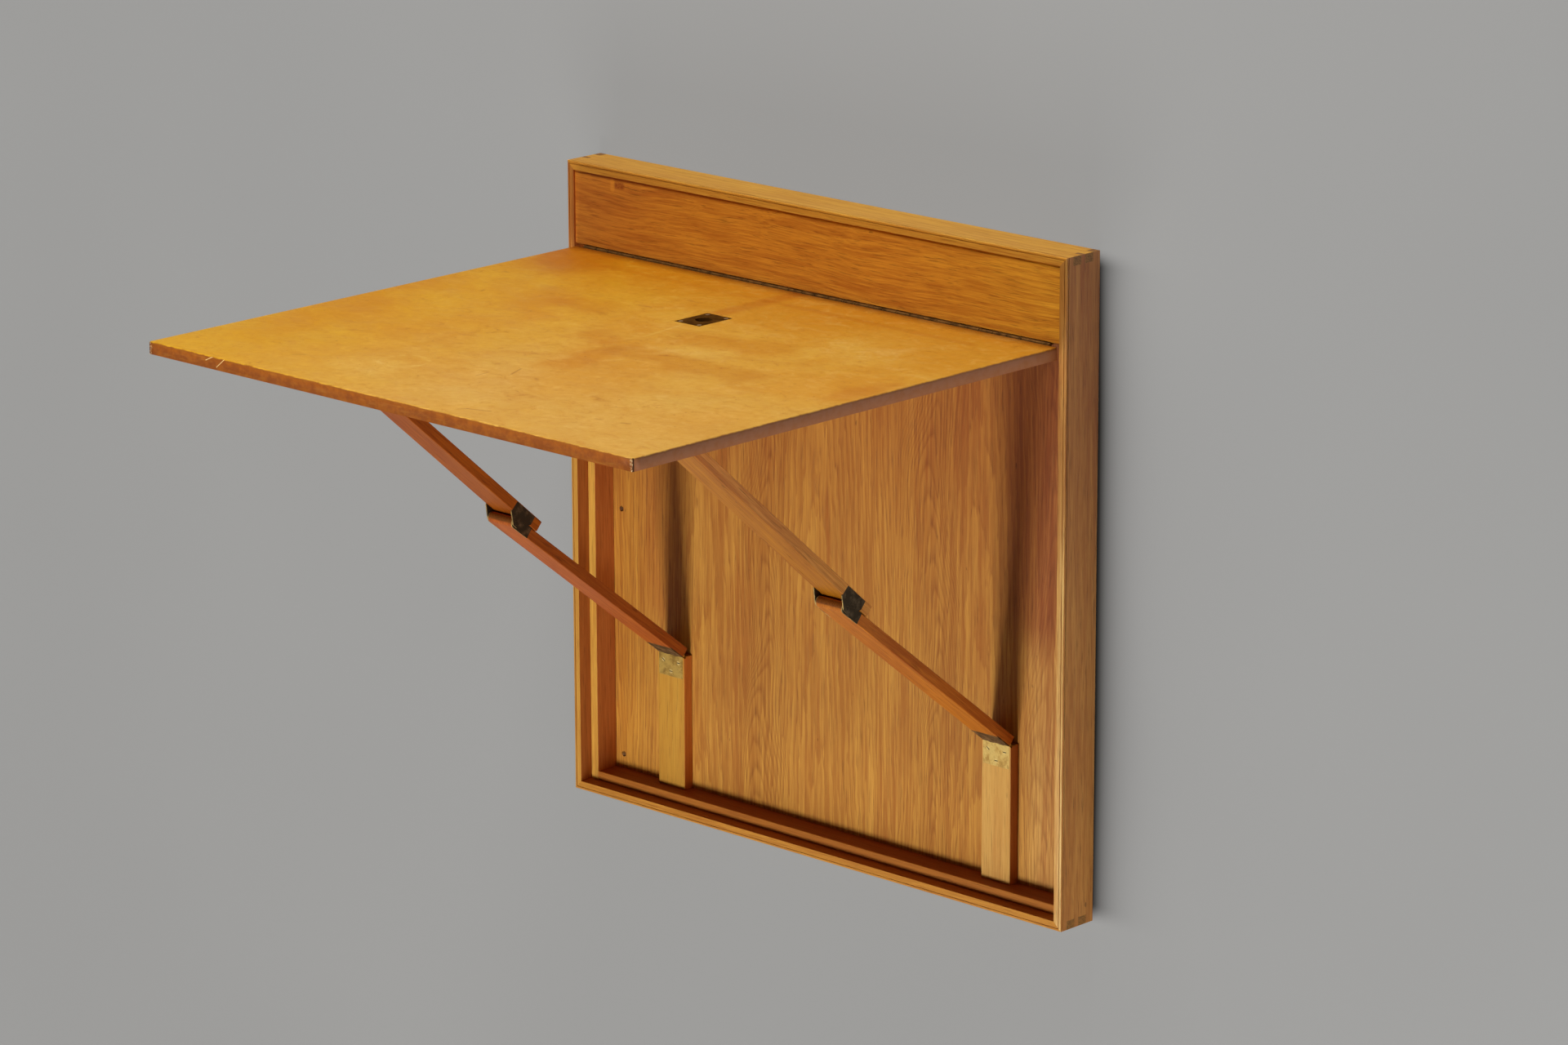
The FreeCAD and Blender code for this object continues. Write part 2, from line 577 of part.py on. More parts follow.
def build():
    """Every node by name, in the desk's open pose."""
    nodes = {
        "top_rail": rail(1),
        "bottom_rail": rail(-1),
        "back_panel": back_panel(),
        "fascia": fascia(),
        "bottom_batten": bottom_batten(),
        "piano_hinge_fixed_leaf": piano_hinge_fixed_leaf(),
        "piano_hinge_moving_leaf": piano_hinge_moving_leaf(),
        "leaf_core": leaf_core(),
        "leather_cover": leather_cover(),
        "flush_plate": flush_plate(),
        "flush_plate_screws": group(flush_screws()),
    }
    for name, side in SIDES.items():
        x = side * X_STRUT
        nodes[name + "_stile"] = stile(side)
        nodes[name + "_batten"] = side_batten(side)
        nodes[name + "_post"] = post(x)
        nodes[name + "_post_hinge_plate"] = post_plate(x)
        nodes[name + "_post_screws"] = group(butt_screws(x, ARM_FRONT, FOOT_Z, DOWN, BACK))
        nodes[name + "_foot_pin"] = butt_pin(x, FOOT_Y, FOOT_Z)
        foot_screws = butt_screws(x, ARM_FRONT, FOOT_Z, UP, BACK)
        nodes[name + "_lower_arm"] = opened_lower(lower_arm_shut(x))
        nodes[name + "_foot_hinge_plate"] = opened_lower(foot_plate_shut(x))
        nodes[name + "_foot_screws"] = group([opened_lower(s) for s in foot_screws])
        nodes[name + "_knuckle_cheeks"] = group([opened_lower(s) for s in cheeks_shut(x)])
        nodes[name + "_knuckle_pin"] = opened_lower(knuckle_bore(x, 0))
        nodes[name + "_upper_arm"] = opened_upper(upper_arm_shut(x))
        nodes[name + "_knuckle_ears"] = group([opened_upper(s) for s in ears_shut(x)])
        nodes[name + "_arm_hinge_plate"] = opened_upper(leaf_arm_plate_shut(x))
        nodes[name + "_arm_hinge_screws"] = group([opened_upper(s) for s in leaf_arm_screws_shut(x)])
        nodes[name + "_leaf_hinge_plate"] = leaf_plate(x)
        nodes[name + "_leaf_hinge_screws"] = group(leaf_plate_screws(x))
        nodes[name + "_leaf_hinge_pin"] = butt_pin(x, LEAF_PIN.y, LEAF_PIN.z)
    return nodes


if __name__ == "__main__":
    os.makedirs("parts", exist_ok=True)
    for node, shape in build().items():
        shape.exportStep("parts/" + node + ".step")
    print("foot pin", FOOT_PIN, "knuckle pin", OPEN_PIVOT, "leaf pin", LEAF_PIN)
    print("lower arm tilt", LOWER_TILT, "upper arm turn", UPPER_TURN, "arm bend", ARM_BEND)
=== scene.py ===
import json
import math

import bmesh
import bpy
import numpy as np
from mathutils import Matrix, Vector


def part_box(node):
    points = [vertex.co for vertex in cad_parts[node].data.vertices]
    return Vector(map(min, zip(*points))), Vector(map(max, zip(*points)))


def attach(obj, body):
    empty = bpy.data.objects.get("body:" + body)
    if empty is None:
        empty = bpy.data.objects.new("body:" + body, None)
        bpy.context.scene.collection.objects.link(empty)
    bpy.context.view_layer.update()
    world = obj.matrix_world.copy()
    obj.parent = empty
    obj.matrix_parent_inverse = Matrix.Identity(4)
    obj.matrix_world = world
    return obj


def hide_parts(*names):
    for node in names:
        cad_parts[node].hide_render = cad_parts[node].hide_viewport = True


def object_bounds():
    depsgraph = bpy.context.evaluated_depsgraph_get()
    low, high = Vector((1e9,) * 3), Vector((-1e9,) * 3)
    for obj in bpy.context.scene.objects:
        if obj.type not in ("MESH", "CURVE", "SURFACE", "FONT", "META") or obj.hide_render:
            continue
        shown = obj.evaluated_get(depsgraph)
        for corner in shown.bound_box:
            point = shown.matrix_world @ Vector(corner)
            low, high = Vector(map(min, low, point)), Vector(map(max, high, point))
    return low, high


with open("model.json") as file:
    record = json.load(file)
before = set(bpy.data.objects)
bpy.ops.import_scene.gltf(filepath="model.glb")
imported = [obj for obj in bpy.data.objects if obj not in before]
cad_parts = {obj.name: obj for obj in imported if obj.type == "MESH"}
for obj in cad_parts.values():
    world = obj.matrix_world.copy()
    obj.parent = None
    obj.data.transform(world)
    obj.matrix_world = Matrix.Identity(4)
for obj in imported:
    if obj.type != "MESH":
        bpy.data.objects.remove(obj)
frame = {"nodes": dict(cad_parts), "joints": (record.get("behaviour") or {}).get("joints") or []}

CAD_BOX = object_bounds()
NODES = frame["nodes"]
JOINTS = {joint["name"]: joint for joint in frame["joints"]}
LOWER_TILT = math.radians(JOINTS["left_foot_hinge"]["range_deg"][1])
UPPER_TILT = math.radians(90 + JOINTS["left_leaf_hinge"]["range_deg"][1]) - math.pi
X, Y, Z = 0, 1, 2
RIGHT, UP = (1.0, 0.0, 0.0), (0.0, 0.0, 1.0)
HALF = (0.5, 0.5, 0.5)
BLACK, WHITE = (0.0, 0.0, 0.0), (1.0, 1.0, 1.0)


def scaled(colour, *factors):
    """A colour times one factor, or one factor for each channel."""
    factors = factors if len(factors) == 3 else factors * 3
    return tuple(f * c for f, c in zip(factors, colour))


class Graph:
    """A material's node tree, with short calls for the nodes that the materials here use."""

    def __init__(self, name):
        self.material = bpy.data.materials.new(name)
        self.material.use_nodes = True
        self.tree = self.material.node_tree
        self.shader = self.tree.nodes["Principled BSDF"]

    def link(self, source, target):
        if isinstance(source, bpy.types.NodeSocket):
            self.tree.links.new(source, target)
        else:
            target.default_value = source

    def node(self, kind, output=0, inputs=None, **settings):
        made = self.tree.nodes.new(kind)
        for key, value in settings.items():
            setattr(made, key, value)
        for key, value in (inputs or {}).items():
            self.link(value, made.inputs[key])
        return made.outputs[output]

    def math(self, operation, a, b=0.0, clamp=False):
        inputs = {0: a, 1: b}
        return self.node("ShaderNodeMath", inputs=inputs, operation=operation, use_clamp=clamp)

    def vector(self, operation, a, b):
        return self.node("ShaderNodeVectorMath", inputs={0: a, 1: b}, operation=operation)

    def measure(self, operation, a, b):
        """A dot product or a distance of two vectors."""
        return self.node("ShaderNodeVectorMath", output=1, inputs={0: a, 1: b}, operation=operation)

    def axis(self, vector, index):
        return self.node("ShaderNodeSeparateXYZ", output=index, inputs={0: vector})

    def spot(self):
        """Object coordinates in metres."""
        return self.node("ShaderNodeTexCoord", output=3)

    def normal(self):
        return self.node("ShaderNodeTexCoord", output=1)

    def backface(self):
        return self.node("ShaderNodeNewGeometry", output=6)

    def place(self, rotation=(0, 0, 0), location=(0, 0, 0)):
        """Object coordinates, turned and moved."""
        inputs = {"Vector": self.spot(), "Location": location, "Rotation": rotation}
        return self.node("ShaderNodeMapping", inputs=inputs)

    def warp(self, vector, noise, reach):
        """Coordinates moved by a colour noise, as far as reach on each axis."""
        shift = self.vector("MULTIPLY", self.vector("SUBTRACT", noise, HALF), reach)
        return self.vector("ADD", vector, shift)

    def noise(self, vector, scale, detail=3.0, roughness=0.5, distortion=0.0, output=0):
        """Noise at a scale in cycles a metre, given as one number or one for each axis."""
        if not isinstance(scale, (int, float)):
            vector = self.vector("MULTIPLY", vector, scale)
            scale = 1.0
        inputs = {"Vector": vector, "Scale": scale, "Detail": detail, "Roughness": roughness}
        inputs["Distortion"] = distortion
        return self.node("ShaderNodeTexNoise", output=output, inputs=inputs)

    def cells(self, vector, scale):
        inputs = {"Vector": vector, "Scale": scale}
        return self.node("ShaderNodeTexVoronoi", inputs=inputs, feature="DISTANCE_TO_EDGE")

    def mark(self, vector, start, end, width):
        """A soft stroke along the line between two points."""
        line = Vector(end) - Vector(start)
        offset = self.vector("SUBTRACT", vector, start)
        dot = self.measure("DOT_PRODUCT", offset, line)
        share = self.math("MULTIPLY", dot, 1.0 / line.length_squared, clamp=True)
        foot = self.node("ShaderNodeVectorMath", inputs={0: line, "Scale": share}, operation="SCALE")
        return self.step(self.measure("DISTANCE", offset, foot), width, width * 0.25)

    def step(self, value, low, high, to_low=0.0, to_high=1.0):
        """A smooth step of a value between two limits."""
        inputs = {"Value": value, "From Min": low, "From Max": high, "To Min": to_low, "To Max": to_high}
        return self.node("ShaderNodeMapRange", inputs=inputs, interpolation_type="SMOOTHSTEP")

    def ramp(self, value, stops):
        made = self.tree.nodes.new("ShaderNodeValToRGB")
        elements = made.color_ramp.elements
        while len(elements) < len(stops):
            elements.new(0.5)
        for element, (position, colour) in zip(elements, stops):
            element.position = position
            element.color = (*colour, 1.0)
        self.link(value, made.inputs["Fac"])
        return made.outputs["Color"]

    def mix(self, factor, a, b, blend="MIX"):
        made = self.tree.nodes.new("ShaderNodeMix")
        made.data_type = "RGBA"
        made.blend_type = blend
        for socket, value in ((made.inputs[0], factor), (made.inputs[6], a), (made.inputs[7], b)):
            self.link((*value, 1.0) if isinstance(value, tuple) else value, socket)
        return made.outputs[2]

    def tint(self, factor, colour, tint):
        return self.mix(factor, colour, tint, "MULTIPLY")

    def bump(self, height, distance, strength=1.0, normal=None):
        inputs = {"Height": height, "Distance": distance, "Strength": strength}
        if normal is not None:
            inputs["Normal"] = normal
        return self.node("ShaderNodeBump", inputs=inputs)

    def set(self, **values):
        """Give the shader's inputs their values, named in lower case."""
        for key, value in values.items():
            if isinstance(value, tuple):
                value = (*value, 1.0)
            self.link(value, self.shader.inputs[key.replace("_", " ").title().replace("Ior", "IOR")])


# Oak: noise scales in cycles a metre, two across the grain and one along it.
OAK_WARP = (8.0, 8.0, 4.5)
OAK_WANDER = (30.0, 30.0, 4.0)
OAK_RAGGED = (260.0, 260.0, 30.0)
OAK_FIBRE = (210.0, 210.0, 9.0)
OAK_FINE = (640.0, 640.0, 24.0)
OAK_PORES = (820.0, 820.0, 30.0)
OAK_BANDS = (34.0, 34.0, 2.2)
OAK_DRIFT = (7.0, 7.0, 1.8)
OAK_RUSSET = (26.0, 26.0, 2.6)
OAK_SPECKS = (150.0, 150.0, 60.0)
OAK_END_DOTS = (900.0, 900.0, 900.0)
OAK_SWAY = (10.0, 10.0, 5.0)
SEED_SHIFT = (0.37, 0.53, 0.71)
# Growth rings: the heart's depth squared, and how much each value moves a ring.
HEART = 0.0036
RING_ALONG, RING_DEPTH, RING_WANDER, RING_RAGGED = 0.03, 0.6, 0.014, 0.004
EARLY_WOOD = [(0.0, BLACK), (0.14, WHITE), (0.45, (0.4, 0.4, 0.4)), (1.0, BLACK)]
# Flames, the arches of a plain-sawn board: the same values, and the width of a ring.
FLAME_HEART, FLAME_RING, FLAME_SWAY, FLAME_RAGGED = 0.0006, 0.0028, 0.08, 0.0012
FLAME_LINES = [(0.0, WHITE), (0.2, (0.72, 0.62, 0.55)), (0.6, (0.94, 0.91, 0.88)), (1.0, WHITE)]


def long_grain(scale, length):
    """A scale with its pattern drawn out along the grain."""
    return (scale[0], scale[1], scale[2] / length)


def flame(g, p, spot, ragged, colour, centre, half, slope, amount):
    """Nested arches around a line along Z at X = centre, as far as half to each side of it."""
    sway = g.math("SUBTRACT", g.noise(p, OAK_SWAY, detail=1.0), 0.5)
    side = g.math("SUBTRACT", g.axis(spot, X), centre)
    side = g.math("ADD", side, g.math("MULTIPLY", sway, FLAME_SWAY))
    arch = g.math("SQRT", g.math("ADD", g.math("MULTIPLY", side, side), FLAME_HEART))
    arch = g.math("ADD", arch, g.math("MULTIPLY", g.axis(spot, Z), slope))
    arch = g.math("ADD", arch, g.math("MULTIPLY", ragged, FLAME_RAGGED))
    lines = g.ramp(g.math("FRACT", g.math("DIVIDE", arch, FLAME_RING)), FLAME_LINES)
    inside = g.step(g.math("ABSOLUTE", side), half, half * 0.4, 0.0, amount)
    return g.tint(inside, colour, lines)


def knot_mark(g, spot, colour, place, light, dark):
    """A small dark knot with a pale halo on its left."""
    x, y, z = place
    halo = g.mark(spot, (x - 0.010, y, z - 0.005), (x - 0.010, y, z + 0.004), 0.005)
    colour = g.mix(g.math("MULTIPLY", halo, 0.55), colour, scaled(light, 1.1))
    eye = g.mark(spot, (x - 0.003, y, z), (x + 0.005, y, z), 0.0062)
    eye = g.math("MULTIPLY", eye, g.step(g.noise(spot, 420.0, detail=3.0), 0.3, 0.6, 0.35, 0.9))
    return g.mix(eye, colour, scaled(dark, 0.62, 0.45, 0.5))


def oak(name, rotation, seed, light, dark, streak=0.42, wave=0.005, rings=0.18, ring=0.0034, leaf=0.24,
        cloud=1.0, knot=None, length=1.0, faces=(), fades=(), painted_strokes=(), flames=()):
    """Oiled oak whose fibres run along Z after the rotation: streaks, open pores, and faint rings in leaves.

    flames are (centre, half width, slope, amount), fades (axis, start, stop, tint) along the object's axes,
    strokes (start, stop, width, tint) on the front, and faces (direction, tint). Strokes and faces paint
    light and shade into the colour, and so do some fades.
    """
    g = Graph(name)
    p = g.place(rotation, scaled(SEED_SHIFT, seed))
    p = g.warp(p, g.noise(p, OAK_WARP, detail=2.0, output=1), (wave, wave, 0.0))
    across, depth, along = (g.axis(p, i) for i in (X, Y, Z))

    middle = g.math("SUBTRACT", g.math("PINGPONG", across, leaf), leaf * 0.42)
    radius = g.math("SQRT", g.math("ADD", g.math("MULTIPLY", middle, middle), HEART))
    wander = g.noise(p, OAK_WANDER, detail=4.0, roughness=0.65)
    ragged = g.noise(p, OAK_RAGGED, detail=2.0)
    moves = (along, RING_ALONG), (depth, RING_DEPTH), (wander, RING_WANDER), (ragged, RING_RAGGED)
    for value, size in moves:
        radius = g.math("ADD", radius, g.math("MULTIPLY", value, size))
    early = g.ramp(g.math("FRACT", g.math("DIVIDE", radius, ring)), EARLY_WOOD)

    fibre = g.noise(p, long_grain(OAK_FIBRE, length), detail=5.0, roughness=0.7)
    fibre = g.step(fibre, 0.34, 0.66)
    fine = g.step(g.noise(p, long_grain(OAK_FINE, length), detail=2.0), 0.36, 0.64)
    pores = g.step(g.noise(p, OAK_PORES, detail=2.0, roughness=0.6), 0.54, 0.68)
    pores = g.math("MULTIPLY", pores, g.math("ADD", 0.4, g.math("MULTIPLY", early, 0.6)))
    bands = g.step(g.noise(p, OAK_BANDS, detail=3.0, roughness=0.6), 0.36, 0.64)
    drift = g.step(g.noise(p, OAK_DRIFT, detail=2.0), 0.32, 0.68)
    tone = g.math("MULTIPLY", early, rings)
    shares = (fibre, streak), (fine, streak * 0.45), (bands, 0.2 * cloud), (drift, 0.14 * cloud)
    for part, share in shares:
        tone = g.math("ADD", tone, g.math("MULTIPLY", part, share))
    colour = g.mix(g.math("MINIMUM", tone, 1.0), light, dark)
    russet = g.math("MULTIPLY", g.step(g.noise(p, OAK_RUSSET, detail=4.0), 0.5, 0.66), fibre)
    colour = g.mix(g.math("MULTIPLY", russet, 0.5 * cloud), colour, scaled(dark, 0.9, 0.74, 0.7))
    colour = g.mix(g.math("MULTIPLY", pores, 1.1 * streak), colour, scaled(dark, 0.4))
    specks = g.step(g.noise(p, OAK_SPECKS, detail=1.0), 0.78, 0.83, 0.0, 0.6)
    colour = g.mix(specks, colour, scaled(dark, 0.3))

    spot, normal = g.spot(), g.normal()
    for centre, half, slope, amount in flames:
        colour = flame(g, p, spot, ragged, colour, centre, half, slope, amount)
    if knot:
        colour = knot_mark(g, spot, colour, knot, light, dark)
    # Some fades paint light and shade: paler, cooler parts in the cool side light, darker tops in the leaf's
    # shade.
    for axis, start, stop, tint in fades:
        colour = g.tint(g.step(g.axis(spot, axis), start, stop), colour, tint)
    # Painted shadows and highlights, on the front faces only.
    for start, stop, width, tint in painted_strokes:
        front = g.step(g.axis(normal, Y), -0.5, -0.9)
        colour = g.tint(g.math("MULTIPLY", g.mark(spot, start, stop, width), front), colour, tint)
    # Painted light and shade on the faces that point one way.
    for direction, tint in faces:
        facing = g.measure("DOT_PRODUCT", normal, direction)
        colour = g.tint(g.step(facing, 0.6, 0.85), colour, tint)

    inputs = {"Vector": normal, "Rotation": rotation}
    turned = g.node("ShaderNodeMapping", inputs=inputs, vector_type="NORMAL")
    end = g.step(g.math("ABSOLUTE", g.axis(turned, Z)), 0.75, 0.92)
    dots = g.step(g.noise(p, OAK_END_DOTS, detail=2.0), 0.45, 0.6)
    colour = g.mix(end, colour, g.mix(dots, scaled(dark, 0.62), scaled(dark, 0.36)))
    rough = g.math("ADD", 0.48, g.math("MULTIPLY", g.math("ADD", pores, drift), 0.1))
    height = g.math("SUBTRACT", g.math("MULTIPLY", fibre, 0.35), pores)
    normal = g.bump(height, 0.0002, 0.4)
    g.set(base_color=colour, roughness=rough, normal=normal, specular_ior_level=0.2)
    return g.material


BRASS_CLOUDS, BRASS_SPOTS = 95.0, 620.0
BRASS_RUB = (3200.0, 240.0, 700.0)


def brass(name, bright, stain, amount, rough, seed, edge_wear_and_highlight=None, metal=0.9, gloss=0.3, floor=None):
    """Brass with a tarnish that gathers in clouds, and fine rubbing marks.

    A plate's thin edges may be paler from wear, partly a painted highlight where they catch the light, and
    slots deeper than floor are painted dark as shade.
    """
    g = Graph(name)
    p = g.place(location=(seed, seed * 2.0, seed * 3.0))
    clouds = g.noise(p, BRASS_CLOUDS, detail=5.0, roughness=0.62)
    spots = g.step(g.noise(p, BRASS_SPOTS, detail=3.0), 0.56, 0.72)
    rub = g.noise(p, BRASS_RUB, detail=2.0)
    tarnish = g.step(clouds, 0.62 - amount * 0.5, 0.9 - amount * 0.5)
    tarnish = g.math("MAXIMUM", tarnish, g.math("MULTIPLY", spots, 0.55))
    colour = g.mix(tarnish, bright, stain)
    colour = g.mix(g.math("MULTIPLY", rub, 0.22), colour, scaled(bright, 0.6))
    # Paler thin edges: wear, and partly a painted highlight.
    if edge_wear_and_highlight:
        facing = g.math("ABSOLUTE", g.axis(g.normal(), X))
        edge = g.math("MULTIPLY", g.step(facing, 0.75, 0.4), g.step(clouds, 0.35, 0.6))
        colour = g.mix(edge, colour, edge_wear_and_highlight)
    # Painted shade: the screws' slots, below floor, are near black.
    if floor is not None:
        slot_shade = g.step(g.axis(g.place(), Y), floor - 0.0002, floor + 0.0001)
        colour = g.mix(slot_shade, colour, scaled(bright, 0.05))
    roughness = g.math("ADD", rough, g.math("MULTIPLY", rub, 0.12))
    roughness = g.math("ADD", g.math("MULTIPLY", tarnish, 0.25), roughness)
    height = g.math("ADD", rub, g.math("MULTIPLY", clouds, 0.6))
    g.set(base_color=colour, metallic=metal, roughness=roughness, specular_ior_level=gloss)
    g.set(normal=g.bump(height, 0.00006, 0.5))
    return g.material


# Marks on the leaf's top: start and end in X and Y, width, and depth or tint.
CREASES = [
    ((0.0159, -0.5046), (0.0259, -0.5284), 0.0016, 0.5),
    ((0.0023, -0.5386), (0.0033, -0.5571), 0.0018, 0.35),
    ((0.1247, -0.6520), (0.0986, -0.6601), 0.0016, 0.55),
    ((0.0986, -0.6601), (0.0925, -0.6681), 0.0016, 0.4),
    ((0.0263, -0.4211), (0.0270, -0.4211), 0.0014, 0.7),
    ((0.2626, -0.5925), (0.2560, -0.5950), 0.0040, 0.35),
    ((0.2304, -0.5997), (0.2240, -0.6010), 0.0030, 0.3),
    ((-0.2053, -0.6230), (-0.1970, -0.6160), 0.0050, 0.25),
]
DEEPER, GOLDEN, PALER = (0.88, 0.73, 0.68), (0.93, 0.83, 0.62), (1.04, 1.12, 1.5)
PATCHES = [
    ((-0.010, -0.050), (-0.008, -0.190), 0.018, (0.88, 0.76, 0.77)),
    ((-0.260, -0.104), (0.020, -0.106), 0.009, (0.96, 0.92, 0.90)),
    ((0.020, -0.106), (0.290, -0.106), 0.009, (0.92, 0.86, 0.85)),
    ((-0.360, -0.060), (-0.290, -0.130), 0.060, DEEPER),
    ((-0.165, -0.255), (-0.125, -0.255), 0.045, GOLDEN),
    ((0.060, -0.280), (0.150, -0.265), 0.050, (0.90, 0.78, 0.55)),
    ((0.050, -0.370), (0.200, -0.375), 0.045, (0.90, 0.80, 0.60)),
    ((0.030, -0.400), (0.035, -0.470), 0.030, GOLDEN),
    ((-0.035, -0.345), (-0.020, -0.355), 0.030, GOLDEN),
    ((0.345, -0.300), (0.345, -0.370), 0.030, (0.90, 0.78, 0.65)),
    ((-0.330, -0.420), (-0.300, -0.600), 0.060, (0.97, 0.92, 0.70)),
    ((-0.290, -0.220), (-0.250, -0.340), 0.070, PALER),
    ((0.200, -0.200), (0.260, -0.230), 0.060, PALER),
    ((0.060, -0.335), (0.110, -0.325), 0.045, PALER),
    ((0.000, -0.500), (0.050, -0.600), 0.070, (1.02, 1.06, 1.25)),
    ((0.200, -0.520), (0.300, -0.620), 0.120, (1.00, 1.03, 1.15)),
    ((-0.130, -0.600), (-0.100, -0.600), 0.050, (1.03, 1.10, 1.40)),
    ((-0.050, -0.220), (-0.020, -0.230), 0.030, (1.04, 1.10, 1.30)),
    ((0.000, -0.250), (0.008, -0.315), 0.003, (1.08, 1.20, 1.80)),
]
# Wider patches than this have ragged outlines.
RAGGED_FROM = 0.02
RING_MARK, RING_RADIUS, RING_TINT = (-0.098, -0.565), 0.026, (1.05, 1.14, 1.5)
# Scratches on the leaf's front edge, in X and Z.
SCRATCHES = [((-0.2601, 0.4640), (-0.2722, 0.4583)), ((-0.2420, 0.4640), (-0.2555, 0.4531))]
SCRATCH_WIDTH, SEAM_WIDTH, SEAM_INSET = 0.0006, 0.0018, 0.0009
# Hide: noise scales in cycles a metre.
HIDE_CLOUDS, HIDE_RAGGED, HIDE_STAINS, HIDE_MOTTLE, HIDE_SPECKS = 7.0, 13.0, 31.0, 130.0, 260.0
HIDE_PATCHES = (17.0, 24.0, 20.0)
HIDE_STREAKS = (46.0, 62.0, 60.0)
HIDE_SCUFFS = (700.0, 24.0, 60.0)
HIDE_WEAR = (46.0, 46.0, 260.0)
HIDE_GRAIN, HIDE_PITS = 1500.0, 2600.0


def leather_top(g, p, x, y, clouds, patches, streaks, mottle, scuffs):
    """The top's ground colours, from large clouds to specks, with a painted sheen that pales the front and a
    painted warmth on the left, away from the cool side light.
    """
    colour = g.mix(g.step(clouds, 0.36, 0.64), (0.57, 0.280, 0.027), (0.53, 0.226, 0.015))
    # Painted sheen: the front is paler and greyer, as if it caught the light.
    front = g.step(g.math("ADD", y, g.math("MULTIPLY", clouds, 0.3)), -0.12, -0.52)
    colour = g.mix(g.math("MULTIPLY", front, 0.7), colour, (0.52, 0.282, 0.049))
    back = g.step(g.math("ADD", y, g.math("MULTIPLY", patches, 0.16)), -0.16, 0.04)
    colour = g.mix(g.math("MULTIPLY", back, 0.75), colour, (0.48, 0.168, 0.007))
    colour = g.mix(g.step(patches, 0.52, 0.72, 0.0, 0.35), colour, (0.60, 0.325, 0.060))
    colour = g.mix(g.step(patches, 0.44, 0.28, 0.0, 0.35), colour, (0.47, 0.185, 0.009))
    colour = g.mix(g.step(streaks, 0.5, 0.7, 0.0, 0.35), colour, (0.64, 0.360, 0.080))
    colour = g.mix(g.step(streaks, 0.48, 0.3, 0.0, 0.3), colour, (0.45, 0.170, 0.009))
    colour = g.mix(g.step(mottle, 0.45, 0.7, 0.0, 0.35), colour, (0.46, 0.186, 0.015))
    stains = g.step(g.noise(p, HIDE_STAINS, detail=6.0, roughness=0.7), 0.66, 0.74, 0.0, 0.45)
    colour = g.mix(stains, colour, (0.36, 0.120, 0.006))
    specks = g.step(g.noise(p, HIDE_SPECKS, detail=1.0), 0.77, 0.81, 0.0, 0.7)
    colour = g.mix(specks, colour, (0.22, 0.070, 0.006))
    colour = g.mix(scuffs, colour, (0.36, 0.130, 0.012))
    # The left is painted warmer, with the cool side light's blue taken out.
    left = g.step(g.math("ADD", x, g.math("MULTIPLY", clouds, 0.2)), 0.16, -0.2)
    return g.tint(left, colour, (1.0, 0.95, 0.3))


def leather_marks(g, p, streaks, top, colour):
    """Patches, a faint ring and creases on the top."""
    ragged = g.noise(p, HIDE_RAGGED, detail=4.0, roughness=0.6, output=1)
    warped = g.warp(p, ragged, (0.08, 0.08, 0.0))
    for start, end, width, tint in PATCHES:
        spread = g.mark(warped if width > RAGGED_FROM else p, (*start, top), (*end, top), width)
        colour = g.tint(spread, colour, tint)
    reach = g.measure("DISTANCE", p, (*RING_MARK, top))
    ring = g.step(g.math("ABSOLUTE", g.math("SUBTRACT", reach, RING_RADIUS)), 0.004, 0.001)
    colour = g.tint(g.math("MULTIPLY", ring, g.step(streaks, 0.4, 0.6)), colour, RING_TINT)
    for start, end, width, depth in CREASES:
        crease = g.mark(p, (*start, top), (*end, top), width)
        colour = g.mix(g.math("MULTIPLY", crease, depth), colour, (0.24, 0.080, 0.008))
    return colour


def leather_edges(g, p, arris, mottle, top):
    """The brown turn-downs, with a painted cool light on the leaf's ends, and rubbed below the arris."""
    colour = g.mix(g.step(mottle, 0.35, 0.65), (0.28, 0.076, 0.005), (0.21, 0.050, 0.004))
    wear = g.noise(p, HIDE_WEAR, detail=5.0, roughness=0.7)
    colour = g.mix(g.step(wear, 0.52, 0.7, 0.0, 0.5), colour, (0.33, 0.120, 0.016))
    # The leaf's ends get a painted greyer, cooler colour, the cool side light.
    facing = g.step(g.math("ABSOLUTE", g.axis(g.normal(), X)), 0.5, 0.8)
    cool_lit_ends = g.math("MULTIPLY", facing, g.step(mottle, 0.3, 0.6, 0.6, 0.9))
    colour = g.mix(cool_lit_ends, colour, (0.35, 0.138, 0.062))
    rubbed = g.step(arris, top - 0.0034, top - 0.0016, 0.0, 0.6)
    return g.mix(rubbed, colour, (0.21, 0.070, 0.010))


